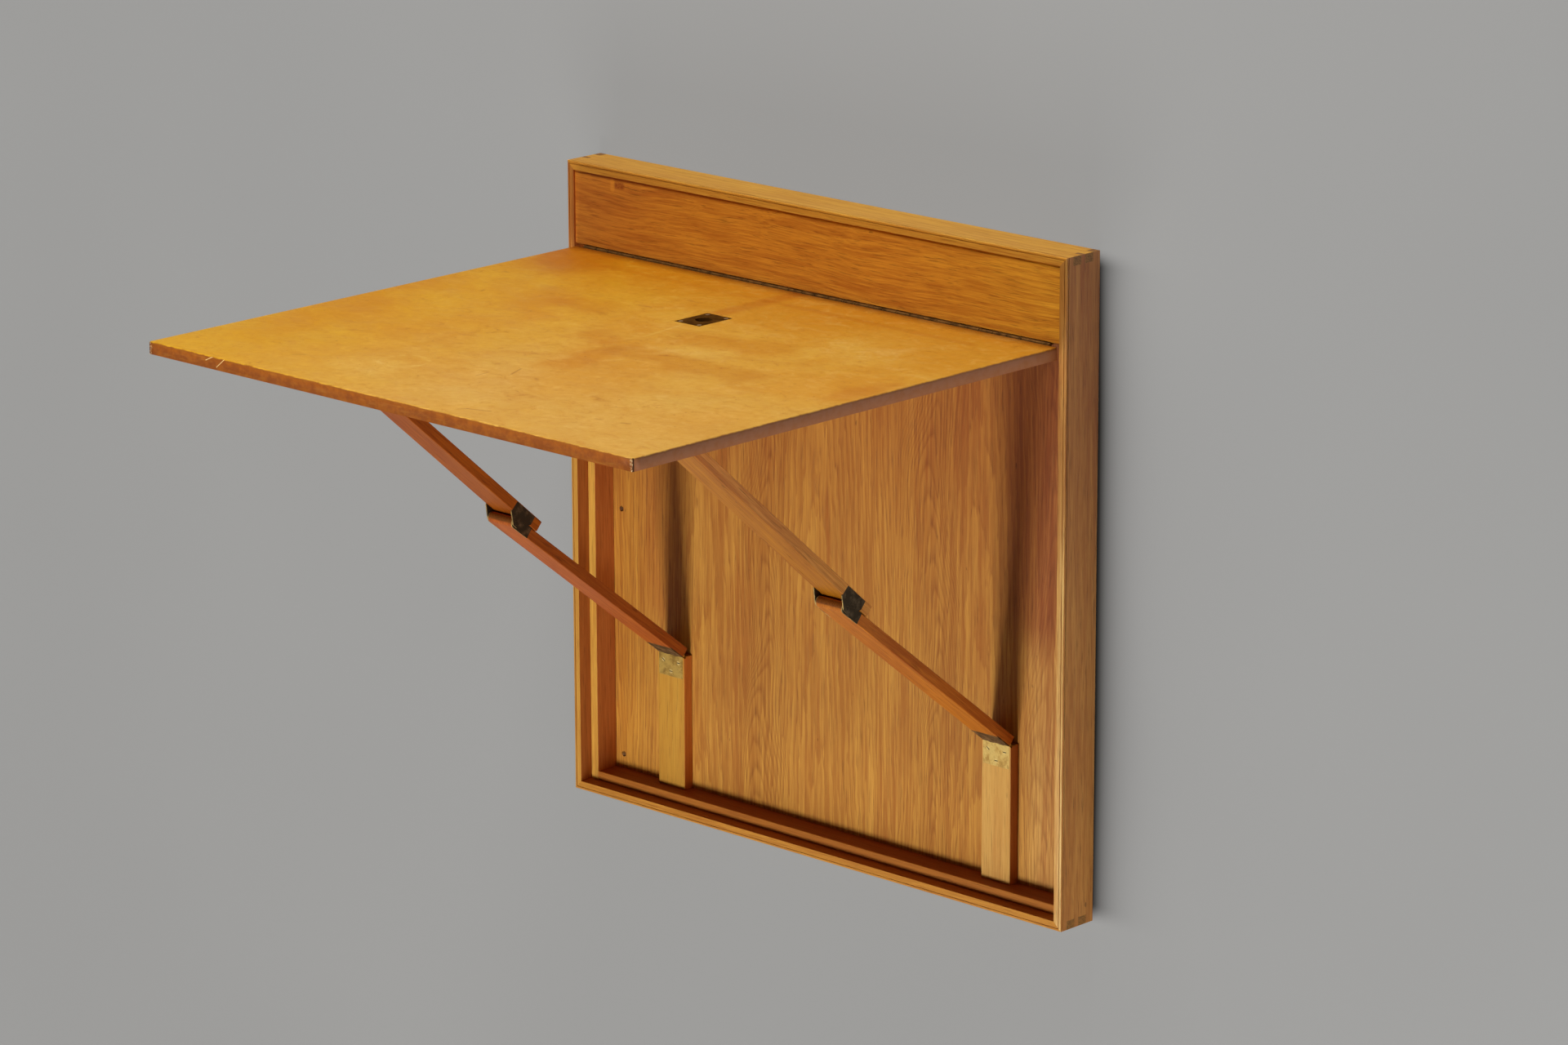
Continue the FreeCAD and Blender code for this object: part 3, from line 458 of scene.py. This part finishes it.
def leather(name):
    """Natural hide, golden and cloudy with age, darker towards the hinge and brown along its edges."""
    low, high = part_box("leather_cover")
    g = Graph(name)
    p = g.place()
    x, y, z = (g.axis(p, i) for i in (X, Y, Z))
    clouds = g.noise(p, HIDE_CLOUDS, detail=4.0, roughness=0.55, distortion=0.4)
    patches = g.noise(p, HIDE_PATCHES, detail=5.0, roughness=0.6, distortion=0.7)
    streaks = g.noise(p, HIDE_STREAKS, detail=6.0, roughness=0.66, distortion=1.2)
    mottle = g.noise(p, HIDE_MOTTLE, detail=4.0, roughness=0.6)
    scuffs = g.noise(p, HIDE_SCUFFS, detail=1.0, distortion=1.5)
    scuffs = g.step(scuffs, 0.73, 0.79, 0.0, 0.1)
    colour = leather_top(g, p, x, y, clouds, patches, streaks, mottle, scuffs)
    colour = leather_marks(g, p, streaks, high.z, colour)
    arris = g.math("ADD", z, g.math("MULTIPLY", g.math("SUBTRACT", streaks, 0.5), 0.003))
    side = g.step(arris, high.z - 0.0002, high.z - 0.0014)
    colour = g.mix(side, colour, leather_edges(g, p, arris, mottle, high.z))
    for (x0, z0), (x1, z1) in SCRATCHES:
        scrape = g.mark(p, (x0, low.y, z0), (x1, low.y, z1), SCRATCH_WIDTH)
        colour = g.mix(g.math("MULTIPLY", scrape, 0.9), colour, (0.72, 0.47, 0.18))
    for corner in (low.x, high.x):
        front = low.y + SEAM_INSET
        seam = g.mark(p, (corner, front, high.z - 0.0006), (corner, front, low.z), SEAM_WIDTH)
        colour = g.mix(g.math("MULTIPLY", seam, 0.95), colour, (0.025, 0.010, 0.004))
    grain = g.math("MULTIPLY", g.step(g.cells(p, HIDE_GRAIN), 0.0, 0.12), 0.5)
    pits = g.math("MULTIPLY", g.noise(p, HIDE_PITS, detail=2.0), 0.4)
    normal = g.bump(g.math("ADD", grain, pits), 0.00005, 0.6)
    normal = g.bump(g.math("SUBTRACT", patches, scuffs), 0.0006, 0.35, normal)
    rough = g.math("ADD", 0.46, g.math("MULTIPLY", g.step(patches, 0.3, 0.7), 0.14))
    g.set(base_color=colour, roughness=rough, normal=normal, specular_ior_level=0.12)
    return g.material


WOOD_EASE, BRASS_EASE = 0.0005, 0.0002
EASE_FROM = math.radians(40)


def assign(node, material):
    """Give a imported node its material."""
    mesh = NODES[node].data
    mesh.materials.clear()
    mesh.materials.append(material)


def ease(obj, width, segments=2):
    """Soften an object's sharp edges."""
    modifier = obj.modifiers.new("ease", "BEVEL")
    modifier.width = width
    modifier.segments = segments
    modifier.limit_method = "ANGLE"
    modifier.angle_limit = EASE_FROM
    modifier.harden_normals = True


# Where the grain runs, as the turn that brings it to Z.
ALONG_Z = (0.0, 0.0, 0.0)
ALONG_X = (0.0, -math.pi / 2, 0.0)
ALONG_LOWER = (-LOWER_TILT, 0.0, 0.0)
ALONG_UPPER = (UPPER_TILT, 0.0, 0.0)

FRAME_OAK = (0.62, 0.315, 0.048), (0.42, 0.165, 0.020)
FASCIA_OAK = (0.66, 0.265, 0.022), (0.42, 0.128, 0.010)
PANEL_OAK = (0.595, 0.294, 0.047), (0.36, 0.132, 0.018)
STRUT_OAK = (0.47, 0.170, 0.020), (0.31, 0.090, 0.009)
BATTEN_OAK = (0.62, 0.285, 0.045), (0.43, 0.155, 0.02)
POST_OAK = (0.60, 0.300, 0.056), (0.48, 0.20, 0.03)

OAK = {
    "top_rail": (ALONG_X, 1.0, *FRAME_OAK),
    "bottom_rail": (ALONG_X, 2.0, *FRAME_OAK),
    "left_stile": (ALONG_Z, 3.0, *FRAME_OAK),
    "right_stile": (ALONG_Z, 4.0, *FRAME_OAK),
    "fascia": (ALONG_X, 5.0, *FASCIA_OAK),
    "back_panel": (ALONG_Z, 6.0, *PANEL_OAK),
    "left_batten": (ALONG_Z, 7.0, *BATTEN_OAK),
    "right_batten": (ALONG_Z, 8.0, *BATTEN_OAK),
    "bottom_batten": (ALONG_X, 9.0, *BATTEN_OAK),
    "left_post": (ALONG_Z, 10.0, *POST_OAK),
    "right_post": (ALONG_Z, 11.0, *POST_OAK),
    "left_lower_arm": (ALONG_LOWER, 12.0, *STRUT_OAK),
    "right_lower_arm": (ALONG_LOWER, 13.0, *STRUT_OAK),
    "left_upper_arm": (ALONG_UPPER, 14.0, *STRUT_OAK),
    "right_upper_arm": (ALONG_UPPER, 15.0, *STRUT_OAK),
    "leaf_core": (ALONG_X, 16.0, *PANEL_OAK),
}
# Fades that cover a whole piece on the left, on the right, high up or low down.
ON_LEFT, ON_RIGHT, HIGH, LOW = (X, 0.0, -0.1), (X, 0.0, 0.1), (Z, 0.0, 0.1), (Z, 0.0, -0.1)
# The underside of the upper arms, the fronts that the knot and the painted shadows and highlights lie on,
# and the middle of the right stile.
UNDER = (0.0, -math.cos(UPPER_TILT), math.sin(UPPER_TILT))
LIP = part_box("left_stile")[0].y
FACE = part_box("back_panel")[0].y
FASCIA_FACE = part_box("fascia")[0].y
STILE = sum(corner.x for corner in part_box("right_stile")) / 2
# What sets a piece's oak apart: its figure and its tone, and the light and shade painted into its colour:
# the face tints and strokes, and some fades, paint shadows, shade, sheen and the cool side light from the
# right.
FIGURE_TONE_AND_PAINTED_LIGHT = {
    # The top face is painted paler and cooler, a painted sheen from the light above.
    "top_rail": {"faces": [(UP, (1.0, 1.08, 1.05))], "fades": [(*HIGH, (1.0, 0.95, 0.75))]},
    "fascia": {
        "streak": 0.62, "wave": 0.02, "ring": 0.003, "leaf": 0.2, "cloud": 0.5,
        "knot": (-0.2951, FASCIA_FACE, 0.5431),
        "fades": [(X, 0.1, 0.35, (1.08, 1.24, 1.16)), (X, -0.15, -0.36, (0.91, 0.82, 0.98))],
    },
    "back_panel": {
        "streak": 0.46, "wave": 0.008, "rings": 0.46, "ring": 0.0044, "leaf": 0.21, "cloud": 1.2,
        "length": 1.7,
        "flames": [(-0.116, 0.055, 0.09, 0.8), (0.150, 0.06, 0.08, 0.8), (0.315, 0.045, 0.06, 0.6)],
        # The right strip is painted paler and cooler where the cool side light falls, the top painted darker
        # in the leaf's shade, the left painted warmer, away from that light; the bottom is lighter.
        "fades": [
            (X, 0.26, 0.31, (1.14, 1.31, 2.05)),
            (Z, 0.08, 0.42, (0.79, 0.65, 0.57)),
            (X, -0.22, -0.34, (1.0, 0.95, 0.8)),
            (Z, -0.02, -0.13, (1.16, 1.2, 1.2)),
        ],
        # Painted shadows of the right and left arms on the panel's front.
        "painted_strokes": [
            ((0.298, FACE, 0.16), (0.298, FACE, 0.42), 0.078, (0.70, 0.51, 0.45)),
            ((-0.272, FACE, 0.06), (-0.276, FACE, 0.40), 0.050, (0.88, 0.76, 0.74)),
        ],
    },
    "left_stile": {
        # The inner side is painted darker and redder as shade, and the top of the front gets painted shade
        # by the leaf.
        "faces": [(RIGHT, (0.88, 0.57, 0.70))],
        "painted_strokes": [((-STILE, LIP, 0.43), (-STILE, LIP, 0.58), 0.12, (0.64, 0.48, 0.47))],
    },
    "right_stile": {
        "streak": 0.62,
        # The outer side is painted darker as shade and its outer edge paler and cooler in the cool side
        # light; the top is painted darker in the leaf's shade, and the low front carries a painted
        # highlight.
        "faces": [(RIGHT, (0.76, 0.50, 0.28))],
        "fades": [(X, 0.36, 0.37, (1.1, 1.45, 3.2)), (Z, 0.15, 0.42, (0.86, 0.76, 0.62))],
        "painted_strokes": [
            ((STILE, LIP, 0.36), (STILE, LIP, 0.58), 0.16, (0.68, 0.56, 0.44)),
            ((STILE, LIP, -0.20), (STILE, LIP, -0.04), 0.14, (1.18, 1.25, 1.40)),
        ],
    },
    # The top face is painted darker as shade.
    "bottom_rail": {"faces": [(UP, (0.8, 0.6, 0.5))], "fades": [(*LOW, (0.9, 0.8, 0.62))]},
    # The inner side is painted darker and redder as shade.
    "left_batten": {"faces": [(RIGHT, (0.92, 0.55, 0.70))], "fades": [(*ON_LEFT, (1.14, 1.4, 1.4))]},
    # The top face is painted darker as shade.
    "bottom_batten": {"faces": [(UP, (0.66, 0.44, 0.3))], "fades": [(*LOW, (0.80, 0.64, 0.49))]},
    # The posts' right sides are painted darker and redder as shade; the left post is painted warmer and the
    # right post paler and cooler, as lit by the cool side light.
    "left_post": {"faces": [(RIGHT, (1.12, 0.7, 0.9))], "fades": [(*ON_LEFT, (0.94, 0.96, 0.62))]},
    "right_post": {"faces": [(RIGHT, (0.68, 0.38, 0.31))], "fades": [(*ON_RIGHT, (1.12, 1.32, 1.8))]},
    "left_lower_arm": {"streak": 0.6, "fades": [(*ON_LEFT, (0.98, 0.68, 0.5))]},
    "left_upper_arm": {
        "streak": 0.6,
        # The underside is painted darker and warmer as shade.
        "faces": [(UNDER, (0.74, 0.76, 0.5))],
        "fades": [(*ON_LEFT, (1.0, 0.67, 0.22))],
    },
    "right_lower_arm": {
        "streak": 0.6,
        # The right side is painted paler and cooler, the cool side light.
        "faces": [(RIGHT, (1.16, 1.0, 1.6))],
        "fades": [(*ON_RIGHT, (1.06, 0.95, 0.42))],
    },
    "right_upper_arm": {
        "streak": 0.6,
        # The right side is painted paler and cooler, the cool side light.
        "faces": [(RIGHT, (2.05, 2.4, 14.0))],
        "fades": [(*ON_RIGHT, (0.87, 0.9, 0.25))],
    },
}
for node, (rotation, seed, light, dark) in OAK.items():
    assign(node, oak("oak_" + node, rotation, seed, light, dark, **FIGURE_TONE_AND_PAINTED_LIGHT.get(node, {})))
    ease(NODES[node], WOOD_EASE)

SLOT_DEPTH = 0.0004
SLOT_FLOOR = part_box("left_post_screws")[0].y + SLOT_DEPTH
BRIGHT = brass("bright_brass", (0.68, 0.47, 0.145), (0.34, 0.19, 0.045), 0.42, 0.30, 1.0)
OLIVE = brass("olive_brass", (0.54, 0.34, 0.08), (0.24, 0.13, 0.028), 0.45, 0.34, 8.0)
AGED = brass("aged_brass", (0.090, 0.034, 0.005), (0.042, 0.015, 0.003), 0.45, 0.6, 2.0,
             metal=0.15, gloss=0.0)
DARK = brass("dark_brass", (0.145, 0.10, 0.056), (0.052, 0.036, 0.021), 0.7, 0.42, 3.0,
             edge_wear_and_highlight=(0.52, 0.36, 0.13))
SCREW = brass("screw_brass", (0.73, 0.52, 0.19), (0.37, 0.23, 0.07), 0.3, 0.32, 4.0, floor=SLOT_FLOOR)
DULL = brass("dull_brass", (0.17, 0.085, 0.032), (0.08, 0.040, 0.015), 0.5, 0.55, 5.0, metal=0.3, gloss=0.1)
# The hinge brass is darkened: partly its own tarnish, partly painted shade of the gap it sits in.
PIANO = brass("piano_brass_painted_shade", (0.20, 0.092, 0.024), (0.08, 0.036, 0.011), 0.5, 0.5, 6.0, metal=1.0)
WORN = brass("worn_screw", (0.62, 0.46, 0.26), (0.18, 0.09, 0.03), 0.4, 0.35, 7.0)
# The brass of a fitting: the first row whose words are in its name.
FITTINGS = [
    ("post_screws", SCREW),
    ("flush_plate_screws", WORN),
    ("screws", DULL),
    ("cheeks", DARK),
    ("ears", DARK),
    ("knuckle_pin", DARK),
    ("piano", PIANO),
    ("flush_plate", AGED),
    ("foot_hinge_plate", DULL),
    ("left_post_hinge_plate", OLIVE),
    ("hinge", BRIGHT),
    ("_pin", BRIGHT),
]
for node in NODES:
    metal = next((metal for words, metal in FITTINGS if words in node), None)
    if metal:
        assign(node, metal)
        ease(NODES[node], BRASS_EASE)


def new_object(name, bm, material):
    """An object in the scene with the mesh that was built."""
    mesh = bpy.data.meshes.new(name)
    bm.to_mesh(mesh)
    bm.free()
    mesh.materials.append(material)
    obj = bpy.data.objects.new(name, mesh)
    bpy.context.scene.collection.objects.link(obj)
    return obj


HIDE_ROUND, HIDE_CELL, HIDE_MARGIN, HIDE_THICKNESS = 0.0016, 0.012, 0.011, 0.0019
FACING, WELD = 0.9, 1e-6


def cut_across(bm, axis, value):
    """Divide the faces where an axis has a value."""
    normal = Vector([1.0 if i == axis else 0.0 for i in range(3)])
    geometry = bm.verts[:] + bm.edges[:] + bm.faces[:]
    bmesh.ops.bisect_plane(bm, geom=geometry, plane_co=normal * value, plane_no=normal)


def leather_cover():
    """The hide wrapped over the leaf: rounded edges, meeting corners, and an opening for the flush plate."""
    low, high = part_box("leather_cover")
    plate_low, plate_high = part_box("flush_plate")
    middle = (low + high) / 2
    bm = bmesh.new()
    bmesh.ops.create_cube(bm, size=1.0)
    bmesh.ops.scale(bm, vec=high - low, verts=bm.verts)
    bmesh.ops.translate(bm, vec=middle, verts=bm.verts)
    top = []
    for edge in bm.edges:
        lowest, front = min(v.co.z for v in edge.verts), min(v.co.y for v in edge.verts)
        if lowest > middle.z and front < middle.y:
            top.append(edge)
    bmesh.ops.bevel(bm, geom=top, offset=HIDE_ROUND, segments=4, profile=0.5, affect="EDGES")
    gone = [f for f in bm.faces if f.normal.z < -FACING or f.normal.y > FACING]
    bmesh.ops.delete(bm, geom=gone, context="FACES")
    for axis in (X, Y):
        for cut in np.arange(low[axis] + HIDE_CELL, high[axis] - HIDE_MARGIN, HIDE_CELL):
            cut_across(bm, axis, cut)
    for axis in (X, Y):
        for corner in (plate_low, plate_high):
            cut_across(bm, axis, corner[axis])
    hole = []
    for face in bm.faces:
        c = face.calc_center_median()
        if plate_low.x < c.x < plate_high.x and plate_low.y < c.y < plate_high.y:
            hole.append(face)
    bmesh.ops.delete(bm, geom=hole, context="FACES")
    bmesh.ops.remove_doubles(bm, verts=bm.verts, dist=WELD)
    obj = new_object("hide", bm, leather("hide_leather"))
    for polygon in obj.data.polygons:
        polygon.use_smooth = True
    thick = obj.modifiers.new("thickness", "SOLIDIFY")
    thick.thickness = HIDE_THICKNESS
    thick.offset = -1.0
    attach(obj, "leaf")
    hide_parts("leather_cover")
    return obj


FIBRE_SCALE = 900.0
FIBRE_INSET, FIBRE_BELOW = 0.0036, 0.0006
FIBRE_LENGTH, FIBRE_RADIUS = (0.0012, 0.0034), (0.00018, 0.00034)
FIBRE_RINGS, FIBRE_SPOKES = (0.0, 0.35, 0.7, 1.0), (0.0, 2.1, 4.2)
FIBRE_FLAT, FIBRE_TAPER = 0.3, 0.75


def fibre_material(name):
    """Pale raw leather."""
    g = Graph(name)
    tint = g.step(g.noise(g.place(), FIBRE_SCALE, detail=2.0), 0.35, 0.65)
    colour = g.mix(tint, (0.78, 0.60, 0.34), (0.52, 0.30, 0.11))
    g.set(base_color=colour, roughness=0.8, specular_ior_level=0.2)
    return g.material


def fibre_ends(side, seed, count=30):
    """Frayed leather fibres that stand out along the leaf's front corner on one side."""
    low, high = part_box("leather_cover")
    corner = Vector((high.x if side > 0 else low.x, low.y, 0.0))
    spokes = [Vector((math.cos(a), FIBRE_FLAT * math.sin(a), math.sin(a))) for a in FIBRE_SPOKES]
    random = np.random.default_rng(seed)
    bm = bmesh.new()
    for _ in range(count):
        inset = -side * random.uniform(0.0, FIBRE_INSET)
        start = corner + Vector((inset, 0.0, random.uniform(low.z, high.z - FIBRE_BELOW)))
        length = random.uniform(*FIBRE_LENGTH)
        out = side * random.normal(0.1, 0.35)
        lean = Vector((out, random.uniform(-0.5, -0.15), random.normal(-0.3, 0.6)))
        bend = Vector((random.normal(0.0, 0.4), random.normal(0.0, 0.2), random.normal(-0.4, 0.5)))
        thick = random.uniform(*FIBRE_RADIUS)
        rings = []
        for share in FIBRE_RINGS:
            centre = start + (lean * share + bend * share * share * 0.5) * length
            radius = thick * (1.0 - FIBRE_TAPER * share)
            centre.z = max(centre.z, low.z + radius)
            rings.append([bm.verts.new(centre + spoke * radius) for spoke in spokes])
        for lower, upper in zip(rings, rings[1:]):
            for i in range(3):
                j = (i + 1) % 3
                bm.faces.new((lower[i], lower[j], upper[j], upper[i]))
        bm.faces.new(rings[0][::-1])
        bm.faces.new(rings[-1])
    bmesh.ops.recalc_face_normals(bm, faces=bm.faces)
    name = "fibre_ends_right" if side > 0 else "fibre_ends_left"
    obj = new_object(name, bm, fibre_material(name))
    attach(obj, "leaf")
    return obj


hide = leather_cover()
fibre_ends(1, 7)
fibre_ends(-1, 8, 14)


def in_view(tree):
    """1 for the rays that show the backdrop: from the camera, by reflection or through glass."""
    ray = tree.nodes.new("ShaderNodeLightPath")
    value = ray.outputs["Is Camera Ray"]
    for name in ("Is Glossy Ray", "Is Transmission Ray"):
        larger = tree.nodes.new("ShaderNodeMath")
        larger.operation = "MAXIMUM"
        tree.links.new(value, larger.inputs[0])
        tree.links.new(ray.outputs[name], larger.inputs[1])
        value = larger.outputs[0]
    return value


def shown_from_front(g, colour, share=0.85):
    """Give a backdrop its colour as light of its own for a share, and let its back be seen through."""
    glow = g.node("ShaderNodeEmission", inputs={"Color": colour})
    seen = g.math("MULTIPLY", in_view(g.tree), share)
    shown = g.node("ShaderNodeMixShader", inputs={0: seen, 1: g.shader.outputs[0], 2: glow})
    clear = g.node("ShaderNodeBsdfTransparent")
    surface = g.node("ShaderNodeMixShader", inputs={0: g.backface(), 1: shown, 2: clear})
    g.link(surface, g.tree.nodes["Material Output"].inputs["Surface"])


SQUARE = ((-1, -1), (1, -1), (1, 1), (-1, 1))
WALL_Y, WALL_MIDDLE, WALL_HALF = 0.0005, 1.5, (6.0, 3.5)
FLOOR_Z, FLOOR_HALF = -2.0, (8.0, 9.0)
# The wall's shade: how dark it is beside the frame, and how fast it falls off, faster on the left.
NEAR_SHADE, NEAR_FALL, FAR_SHADE, FAR_FALL, LEFT_FALL = 0.95, -48.0, 0.12, -14.0, 4.0


def wall_material():
    """Grey paint with a soft shade close beside the frame."""
    g = Graph("wall_grey")
    p = g.place()
    x, height = g.axis(p, X), g.axis(p, Z)
    (left, _, bottom), (right, _, top) = CAD_BOX
    tone = g.step(g.noise(p, 1.2, detail=2.0), 0.3, 0.7)
    grey = g.mix(tone, (0.327, 0.323, 0.315), (0.337, 0.333, 0.324))
    on_left = g.math("MULTIPLY", g.math("SUBTRACT", left, x), LEFT_FALL)
    beside = g.math("MAXIMUM", g.math("MAXIMUM", g.math("SUBTRACT", x, right), on_left), 0.0)
    near = g.math("MULTIPLY", g.math("EXPONENT", g.math("MULTIPLY", beside, NEAR_FALL)), NEAR_SHADE)
    far = g.math("MULTIPLY", g.math("EXPONENT", g.math("MULTIPLY", beside, FAR_FALL)), FAR_SHADE)
    level = g.math("MULTIPLY", g.step(height, bottom - 0.01, bottom + 0.25), g.step(height, top, top - 0.2))
    shade = g.math("ADD", near, g.math("MULTIPLY", far, level))
    above = g.step(height, bottom - 0.004, bottom + 0.02)
    below = g.step(height, top + 0.002, top - 0.02)
    shade = g.math("MULTIPLY", shade, g.math("MULTIPLY", above, below))
    grey = g.mix(shade, grey, (0.018, 0.016, 0.014))
    g.set(base_color=grey, roughness=0.9)
    shown_from_front(g, grey)
    return g.material


def floor_material():
    """Pale, slightly cloudy paint."""
    g = Graph("floor_pale")
    pale = g.mix(g.step(g.noise(g.place(), 2.0), 0.3, 0.7), (0.72, 0.71, 0.69), (0.76, 0.75, 0.73))
    g.set(base_color=pale, roughness=0.8)
    shown_from_front(g, pale)
    return g.material


def plane(name, corners, material):
    """A single face with these corners."""
    bm = bmesh.new()
    bm.faces.new([bm.verts.new(c) for c in corners])
    return new_object(name, bm, material)


def stage():
    """A grey wall that shows only from the room's side, and a pale floor far below."""
    corners = [(x * WALL_HALF[0], WALL_Y, WALL_MIDDLE + z * WALL_HALF[1]) for x, z in SQUARE]
    wall = plane("wall", corners, wall_material())
    corners = [(x * FLOOR_HALF[0], y * FLOOR_HALF[1], FLOOR_Z) for x, y in SQUARE]
    floor = plane("floor", corners, floor_material())
    wall.visible_shadow = False


stage()


def lamp(name, place, target, size, power, colour=WHITE):
    """A soft rectangular lamp, aimed at a target and out of sight."""
    data = bpy.data.lights.new(name, "AREA")
    data.shape = "RECTANGLE"
    data.size, data.size_y = size
    data.energy = power
    data.color = colour
    obj = bpy.data.objects.new(name, data)
    obj.location = place
    obj.rotation_euler = (Vector(target) - Vector(place)).to_track_quat("-Z", "Y").to_euler()
    obj.visible_camera = False
    bpy.context.scene.collection.objects.link(obj)


lamp("key", (-0.1, -4.6, -1.1), (0.0, 0.0, 0.1), (0.9, 1.0), 165.0)
lamp("overhead", (0.1, -1.65, 2.95), (0.0, -0.3, 0.3), (0.7, 1.3), 92.0)
lamp("fill", (1.55, -0.4, -0.7), (0.2, -0.1, 0.0), (0.5, 0.5), 8.0, (0.9, 0.96, 1.0))
lamp("rear", (0.6, 3.2, 0.3), (0.0, 0.0, 0.2), (2.5, 2.0), 100.0)


def studio():
    """A faint even light, and a grey backdrop where no wall is in view."""
    world = bpy.data.worlds.new("studio")
    world.use_nodes = True
    nodes, links = world.node_tree.nodes, world.node_tree.links
    light = nodes["Background"]
    light.inputs["Color"].default_value = (0.62, 0.62, 0.62, 1.0)
    light.inputs["Strength"].default_value = 0.012
    backdrop = nodes.new("ShaderNodeBackground")
    backdrop.inputs["Color"].default_value = (0.33, 0.325, 0.32, 1.0)
    choice = nodes.new("ShaderNodeMixShader")
    links.new(in_view(world.node_tree), choice.inputs[0])
    links.new(light.outputs[0], choice.inputs[1])
    links.new(backdrop.outputs[0], choice.inputs[2])
    links.new(choice.outputs[0], nodes["World Output"].inputs["Surface"])
    bpy.context.scene.world = world
    bpy.context.scene.view_settings.view_transform = "Standard"


studio()

YAW, PITCH, ROLL = (math.radians(a) for a in (43.612, 15.2508, 0.1825))
CAMERA_PLACE = (4.3013, -4.6066, 1.9127)
SENSOR, FOCAL_PIXELS, PICTURE_PIXELS = 36.0, 7170.67, 1920


def camera():
    """The photograph's view: fitted yaw, pitch and roll, place and focal length."""
    ahead = math.cos(PITCH)
    forward = Vector((-math.sin(YAW) * ahead, math.cos(YAW) * ahead, -math.sin(PITCH)))
    right = Vector((math.cos(YAW), math.sin(YAW), 0.0))
    down = forward.cross(right)
    image_right = right * math.cos(ROLL) + down * math.sin(ROLL)
    image_up = -(down * math.cos(ROLL) - right * math.sin(ROLL))
    data = bpy.data.cameras.new("camera")
    data.sensor_width = SENSOR
    data.lens = SENSOR * FOCAL_PIXELS / PICTURE_PIXELS
    obj = bpy.data.objects.new("camera", data)
    turn = Matrix((image_right, image_up, -forward)).transposed()
    obj.matrix_world = Matrix.Translation(CAMERA_PLACE) @ turn.to_4x4()
    bpy.context.scene.collection.objects.link(obj)
    bpy.context.scene.camera = obj


camera()
